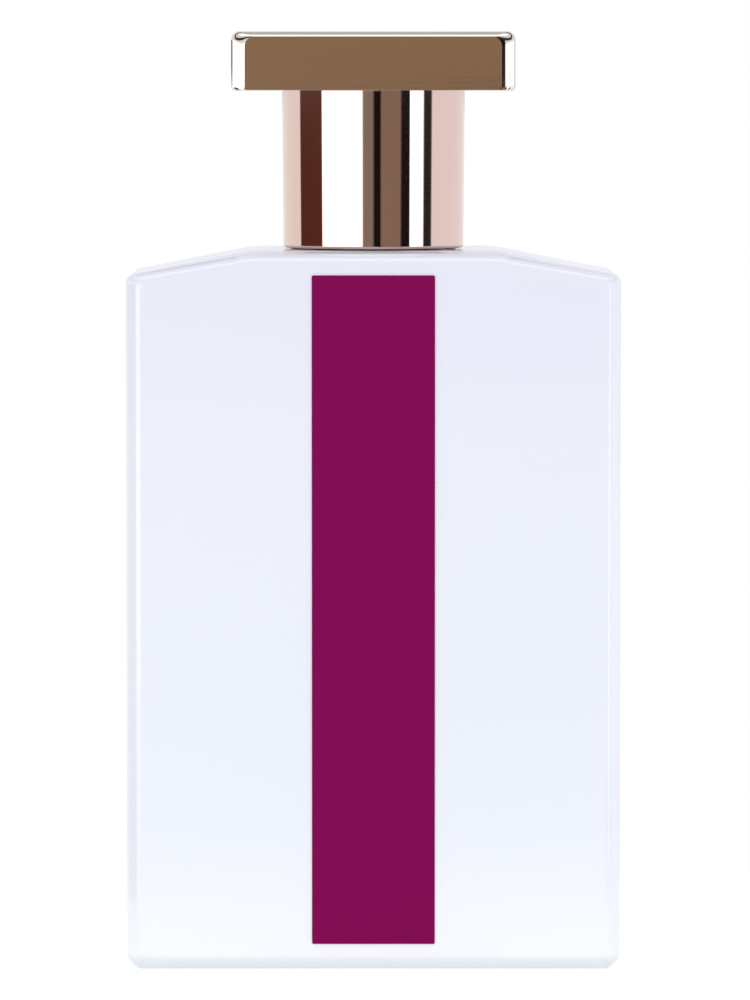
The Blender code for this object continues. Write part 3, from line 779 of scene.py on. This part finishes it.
def make_ferrule(metal):
    """The aluminium shell under the collar, crimped in below the neck's bead."""
    outer, top, low = FERRULE_HIGH.x, FERRULE_HIGH.z, FERRULE_LOW.z
    inner = outer - FERRULE_WALL
    crimp = NECK_RADIUS + 0.0006
    corners = [
        (FERRULE_EYE, top, 0.0001),
        (outer, top, 0.0005),
        (outer, low + 0.0004, 0.0003),
        (crimp + FERRULE_WALL * 0.6, low, 0.00012),
        (crimp, low, 0.00008),
        (inner, low + 0.001, 0.0002),
        (inner, top - FERRULE_WALL, 0.0002),
        (FERRULE_EYE, top - FERRULE_WALL, 0.0001),
    ]
    ferrule = smooth(lathe("ferrule", filleted(corners, 5), 128))
    placed(ferrule, metal, "flacon", "crimp_ferrule")


def make_shell(metal):
    """The button's metal thimble: a dished top for the finger and a window for the nozzle."""
    outer, top, low = SHELL_HIGH.x, SHELL_HIGH.z, SHELL_LOW.z
    inner = outer - SHELL_WALL
    shares = [step / 8 for step in range(9)]
    dips = [DISH_DEPTH * math.cos(math.pi / 2 * share) ** 2 for share in shares]
    dish = [(share * DISH_RADIUS, top - dip, 0) for share, dip in zip(shares, dips)]
    corners = [
        (outer, top, 0.0007),
        (outer, low, 0.00012),
        (inner, low, 0.00012),
        (inner, top - SHELL_WALL, 0.0003),
        (0.0, top - SHELL_WALL, 0),
    ]
    shell = smooth(lathe("button_shell", filleted(dish + corners, 6)))
    inmost, outmost = (0, INSERT_HIGH.y, NOZZLE_Z), (0, SHELL_LOW.y - 2 * CLEAR, NOZZLE_Z)
    combine(shell, bar("window", NOZZLE_RADIUS + 0.0003, inmost, outmost))
    rounded_edges(shell, 0.00006, 2, 50)
    smooth(shell)
    placed(shell, metal, "actuator", "actuator_shell")


def make_insert(plastic):
    """The spray insert: a dished face round the orifice, over a swirl chamber, laid forward."""
    length = INSERT_HIGH.y - INSERT_LOW.y
    orifice, swirl = 0.00015, 0.0008
    corners = [
        (0.00055, length, 0.00006),
        (NOZZLE_RADIUS, length, 0.00016),
        (NOZZLE_RADIUS, 0.0, 0.0001),
        (swirl, 0.0, 0.00008),
        (swirl, length - 0.0009, 0.0001),
        (orifice, length - 0.0006, 0),
        (orifice, length - 0.0003, 0.00004),
    ]
    insert = smooth(lathe("spray_insert", filleted(corners, 4), 64))
    forward = Matrix.Rotation(math.pi / 2, 4, "X")
    insert.data.transform(Matrix.Translation((0, INSERT_HIGH.y, NOZZLE_Z)) @ forward)
    placed(insert, plastic, "actuator", "nozzle_insert")


def make_spring(steel):
    """The return spring, whose end coils close up."""
    radius = SPRING_HIGH.x - SPRING_WIRE / 2
    spring = grown(
        "coil_spring",
        coil_tree(),
        steel,
        Radius=radius,
        Thickness=SPRING_WIRE,
        Count=SPRING_TURNS,
        Low=SPRING_LOW.z + SPRING_WIRE / 2,
        High=SPRING_HIGH.z - SPRING_WIRE / 2,
    )
    spring.data.shade_smooth()
    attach(spring, "flacon")
    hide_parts("return_spring")
    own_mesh(spring)


# ---- label ----


def make_label(ink):
    """The stripe: a thin printed layer with square corners just taken off and an eased edge."""
    low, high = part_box("label_stripe")
    middle = (low + high) / 2
    half_x, half_z = (high.x - low.x) / 2, (high.z - low.z) / 2
    ease = 0.00006
    rings = []
    for inset, y in ((0.0, high.y), (0.0, low.y + ease), (ease * 0.3, low.y + ease * 0.3), (ease, low.y)):
        outline = rectangle(half_x - inset, half_z - inset, 0.0002, 5)
        rings.append([(middle.x + p.x, y, middle.z + p.y) for p in outline])
    label = smooth(lofted("printed_stripe", rings), 50)
    placed(label, ink, "flacon", "label_stripe")


# ---- stage ----


def make_floor():
    form = bmesh.new()
    bmesh.ops.create_circle(form, cap_ends=True, segments=96, radius=FLOOR_RADIUS)
    floor = piece_from("floor", form)
    finish = Finish("floor_paper", FLOOR_TONE, 0.9)
    finish.set("Specular IOR Level", 0.0)
    finish.set("Emission Color", (1.0, 1.0, 1.0, 1.0))
    finish.set("Emission Strength", FLOOR_GLOW)
    floor.data.materials.append(finish.material)


WHITE = (1.0, 1.0, 1.0)
LIT = (2.6, 2.6, 2.6)  # a light panel
FLAG = (0.012, 0.01, 0.01)  # a black flag
# The studio's walls: what stands from and to an angle, in degrees round from behind the camera towards +X.
BENCH_LEVEL = (
    (-180, -106, (1.0, 1.0, 0.98)),
    (-106, -68, (0.11, 0.036, 0.024)),
    (-68, -14, LIT),
    (-14, 0, (0.28, 0.247, 0.204)),
    (0, 9.5, FLAG),
    (9.5, 35, (0.296, 0.216, 0.164)),
    (35, 47, FLAG),
    (47, 66, LIT),
    (66, 79, (0.03, 0.025, 0.025)),
    (79, 180, (1.0, 1.0, 1.02)),
)
UPPER_LEVEL = (
    (-180, -123, (0.87, 0.87, 0.95)),
    (-123, -8, LIT),
    (-8, 5, (0.3, 0.182, 0.112)),
    (5, 32, FLAG),
    (32, 123, (1.3, 1.38, 1.5)),
    (123, 180, (0.87, 0.87, 0.95)),
)
PANEL_SOFTNESS = 0.5  # half the width over which two panels blend
BENCH_EDGE = (-0.53, -0.37)  # where the upper walls take over, in degrees over the horizon
# What stands in front of the walls, each with where it fades in and out and its grey level: its height in
# degrees over the horizon, and its place as a share of the way round from straight behind the bottle.
RAIL = ((-0.15, -0.05), (0.4, 0.6), (0.018, 0.026), (0.15, 0.16), 0.1)
SHEET = ((-10.5, -8.5), (-7.5, -5.0), (0.478, 0.484), (0.516, 0.522), 1.12)
# The most that the walls give off below and above a band round the horizon, in degrees.
LOW_LIMIT = ((-7.0, -4.5), 1.2)
HIGH_LIMIT = ((2.0, 4.5), 0.9)
# What is over the walls, and the floor under them, by height on a unit sphere.
GAP_EDGE, GAP_TONE = (0.24, 0.28), (0.05, 0.05, 0.05)
CEILING_EDGE, CEILING_TONE = (0.46, 0.54), (0.82, 0.82, 0.82)
LAMP_RISE, LAMP_FALL, LAMP_TONE = (0.76, 0.8), (0.94, 0.97), (2.4, 2.4, 2.4)
LAMP_BACK = (-0.1, 0.1)
FLOOR_EDGE = (-0.9, -0.75)
BACK_LIFT = 0.6  # how much higher the gap and the ceiling start at the back
BOUNCE_EDGE, BOUNCE_TONE = (-0.03, 0.0), (1.12, 1.12, 1.12)


def wall_ramp(tree, share, panels):
    """The colours of a ring of panels, by the share of the way round."""
    ramp = tree.nodes.new("ShaderNodeValToRGB")
    tree.links.new(share, ramp.inputs["Fac"])
    stops = ramp.color_ramp.elements
    stops.remove(stops[-1])
    stops[0].position = 0.0
    stops[0].color = (*panels[0][2], 1.0)
    for start, end, colour in panels:
        for edge in (start + PANEL_SOFTNESS, end - PANEL_SOFTNESS):
            stops.new((edge + 180) / 360).color = (*colour, 1.0)
    return ramp.outputs["Color"]


def heights(degrees):
    """The heights on a unit sphere of angles over the horizon."""
    return [math.sin(math.radians(angle)) for angle in degrees]


def between(tree, value, rise, fall):
    """1 from the end of the rise to the start of the fall, 0 outside them."""
    return maths(tree, "MULTIPLY", ranged(tree, value, *rise, 0.0, 1.0), ranged(tree, value, *fall, 1.0, 0.0))


def shield(tree, walls, z, share, thing):
    """Stands a rail or a sheet of one grey level in front of the walls."""
    foot, head, start, end, level = thing
    upright = between(tree, z, heights(foot), heights(head))
    place = maths(tree, "MULTIPLY", upright, between(tree, share, start, end))
    return blended(tree, place, walls, (level, level, level))


def dimmed(tree, colour, most):
    """The colour with no channel over the most."""
    node = tree.nodes.new("ShaderNodeVectorMath")
    node.operation = "MINIMUM"
    tree.links.new(colour, node.inputs[0])
    node.inputs[1].default_value = (most, most, most)
    return node.outputs["Vector"]


def mirrored_studio(tree, share, y, z):
    """What polished surfaces mirror: panels and flags, a dark gap, a ceiling with a lamp, a floor."""
    over_bench = ranged(tree, z, *heights(BENCH_EDGE), 0.0, 1.0)
    bench, upper = wall_ramp(tree, share, BENCH_LEVEL), wall_ramp(tree, share, UPPER_LEVEL)
    walls = blended(tree, over_bench, bench, upper)
    walls = shield(tree, walls, z, share, RAIL)
    for (edge, most), to_low, to_high in ((LOW_LIMIT, 1.0, 0.0), (HIGH_LIMIT, 0.0, 1.0)):
        beyond = ranged(tree, z, *heights(edge), to_low, to_high)
        walls = blended(tree, beyond, walls, dimmed(tree, walls, most))
    walls = shield(tree, walls, z, share, SHEET)
    behind = maths(tree, "MULTIPLY", maths(tree, "MAXIMUM", y, 0.0), BACK_LIFT)
    height = maths(tree, "SUBTRACT", z, behind)
    gap = blended(tree, ranged(tree, height, *GAP_EDGE, 0.0, 1.0), walls, GAP_TONE)
    ceiling = blended(tree, ranged(tree, height, *CEILING_EDGE, 0.0, 1.0), gap, CEILING_TONE)
    lamp = between(tree, z, LAMP_RISE, LAMP_FALL)
    lamp = maths(tree, "MULTIPLY", lamp, ranged(tree, y, *LAMP_BACK, 1.0, 0.0))
    ceiling = blended(tree, lamp, ceiling, LAMP_TONE)
    return blended(tree, ranged(tree, z, *FLOOR_EDGE, 1.0, 0.0), ceiling, WHITE)


def soft_light(tree, y, z):
    """What matt surfaces get: more from the front, the back and above, and light thrown up by the floor."""
    ends = maths(tree, "MULTIPLY", maths(tree, "MULTIPLY", y, y), 0.7)
    over = maths(tree, "MULTIPLY", maths(tree, "MAXIMUM", z, 0.0), 0.4)
    level = maths(tree, "ADD", maths(tree, "ADD", ends, over), 0.6)
    return blended(tree, ranged(tree, z, *BOUNCE_EDGE, 1.0, 0.0), level, BOUNCE_TONE)


def make_world():
    """A white studio, as polished surfaces mirror it and as it lights the matt ones."""
    world = bpy.data.worlds.new("studio")
    bpy.context.scene.world = world
    world.use_nodes = True
    world.cycles.sampling_method = "NONE"
    tree = world.node_tree
    tree.nodes.clear()
    coordinates = tree.nodes.new("ShaderNodeTexCoord")
    split = tree.nodes.new("ShaderNodeSeparateXYZ")
    tree.links.new(coordinates.outputs["Generated"], split.inputs["Vector"])
    x, y, z = split.outputs
    azimuth = maths(tree, "ARCTAN2", x, maths(tree, "MULTIPLY", y, -1.0))
    share = maths(tree, "ADD", maths(tree, "DIVIDE", azimuth, 2 * math.pi), 0.5)
    mirrored = mirrored_studio(tree, share, y, z)
    path = tree.nodes.new("ShaderNodeLightPath")
    light = blended(tree, path.outputs["Is Diffuse Ray"], mirrored, soft_light(tree, y, z))
    seen = blended(tree, path.outputs["Is Camera Ray"], light, WHITE)
    background = tree.nodes.new("ShaderNodeBackground")
    tree.links.new(seen, background.inputs["Color"])
    output = tree.nodes.new("ShaderNodeOutputWorld")
    tree.links.new(background.outputs["Background"], output.inputs["Surface"])


CAMERA_LENS = 240.7
CAMERA_STAND = Vector((0.0002, -0.85, 0.113))
CAMERA_AIM = Vector((0.0002, 0.0, 0.05827))


def make_camera():
    """A long lens at the height of the cap's slab, tipped down to the middle of the bottle."""
    camera = bpy.data.objects.new("camera", bpy.data.cameras.new("camera"))
    bpy.context.scene.collection.objects.link(camera)
    bpy.context.scene.camera = camera
    camera.data.lens = CAMERA_LENS
    camera.data.sensor_width = 36.0
    camera.location = CAMERA_STAND
    camera.rotation_euler = (CAMERA_AIM - CAMERA_STAND).to_track_quat("-Z", "Y").to_euler()
    camera.data.clip_start = 0.05
    camera.data.clip_end = 20.0


def dress(node, material):
    """Gives a carried-over node its material."""
    nodes[node].data.materials.clear()
    nodes[node].data.materials.append(material)


make_camera()
ROSE, SATIN_ROSE = rose_gold(), slab_rose_gold()
make_flacon()
make_slab(SATIN_ROSE)
make_sleeve(ROSE)
make_label(label_ink())

NATURAL = moulded("natural_plastic", (0.85, 0.85, 0.83), 0.38)
STEEL = bare_metal("spring_steel", (0.6, 0.6, 0.61), 0.22)
for inner in ("pump_housing", "pump_closure", "poppet", "pump_stem", "piston", "actuator_core"):
    dress(inner, NATURAL)
make_liner(NATURAL)
make_insert(NATURAL)
dress("dip_tube", moulded("tube_plastic", (0.9, 0.92, 0.92), 0.2, transmission=0.6))
dress("neck_gasket", moulded("gasket_rubber", (0.16, 0.16, 0.17), 0.65))
make_ferrule(bare_metal("ferrule_aluminium", (0.82, 0.82, 0.83), 0.28))
make_spring(STEEL)
for steel in ("ball_valve", "cap_weight"):
    dress(steel, STEEL)
dress("perfume", moulded("perfume_liquid", (0.95, 0.7, 0.62), 0.02, transmission=0.9))
make_collar(ROSE)
make_shell(ROSE)

make_floor()
make_world()
bpy.context.scene.view_settings.view_transform = "Standard"
